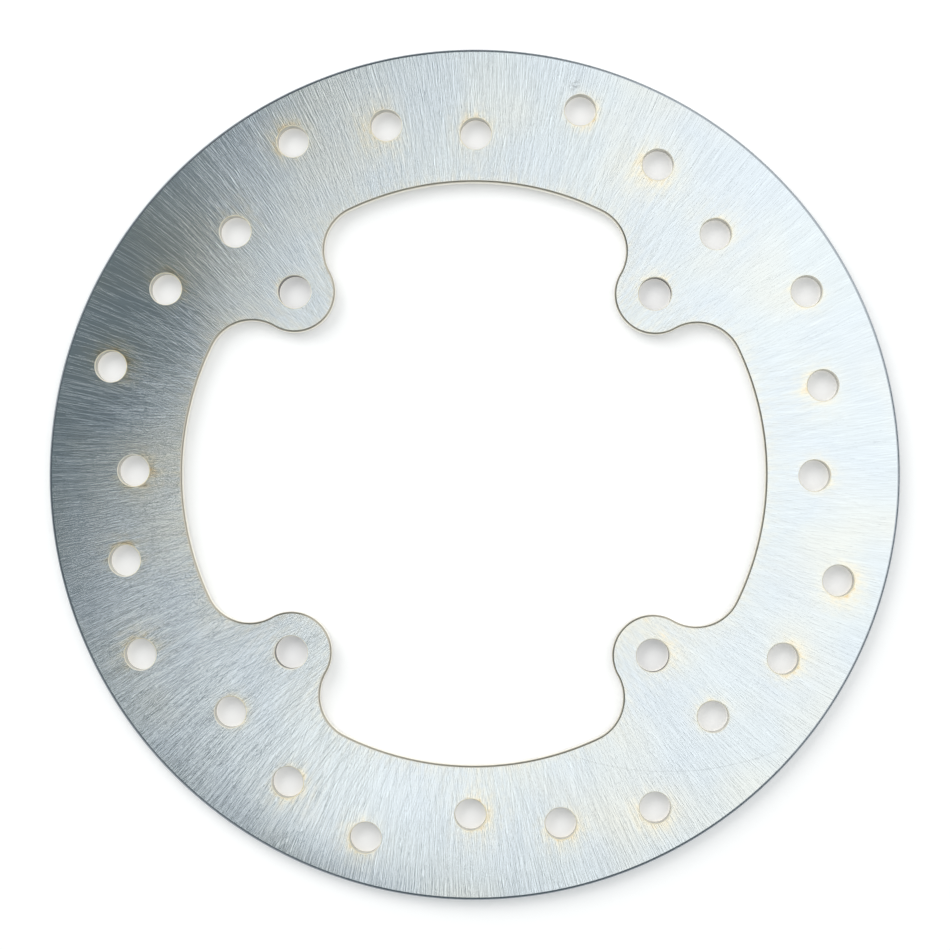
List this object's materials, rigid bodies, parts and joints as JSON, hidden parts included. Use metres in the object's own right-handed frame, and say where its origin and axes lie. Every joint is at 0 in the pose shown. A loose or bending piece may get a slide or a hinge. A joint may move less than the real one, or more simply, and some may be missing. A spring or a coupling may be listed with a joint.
{
  "type": "brake disc rotor",
  "caption": "Flat drilled steel brake disc with an open centre and inward lugs that bolt straight onto a wheel hub.",
  "frame": {"origin": "centre of the rear face, which lies on the wheel hub", "axes": "+Z along the disc's axis towards its outer face, +X through the middle of an opening arc between two lugs; the lugs stand at 45 degrees to X and Y"},
  "size_m": [0.22, 0.22, 0.004],
  "materials": {
    "ground_steel": "ground on both faces with fine lines from the opening to the rim, straw heat tint round the cut edges"
  },
  "bodies": {
    "root": {"brake_disc": "ground_steel"}
  },
  "joints": []
}
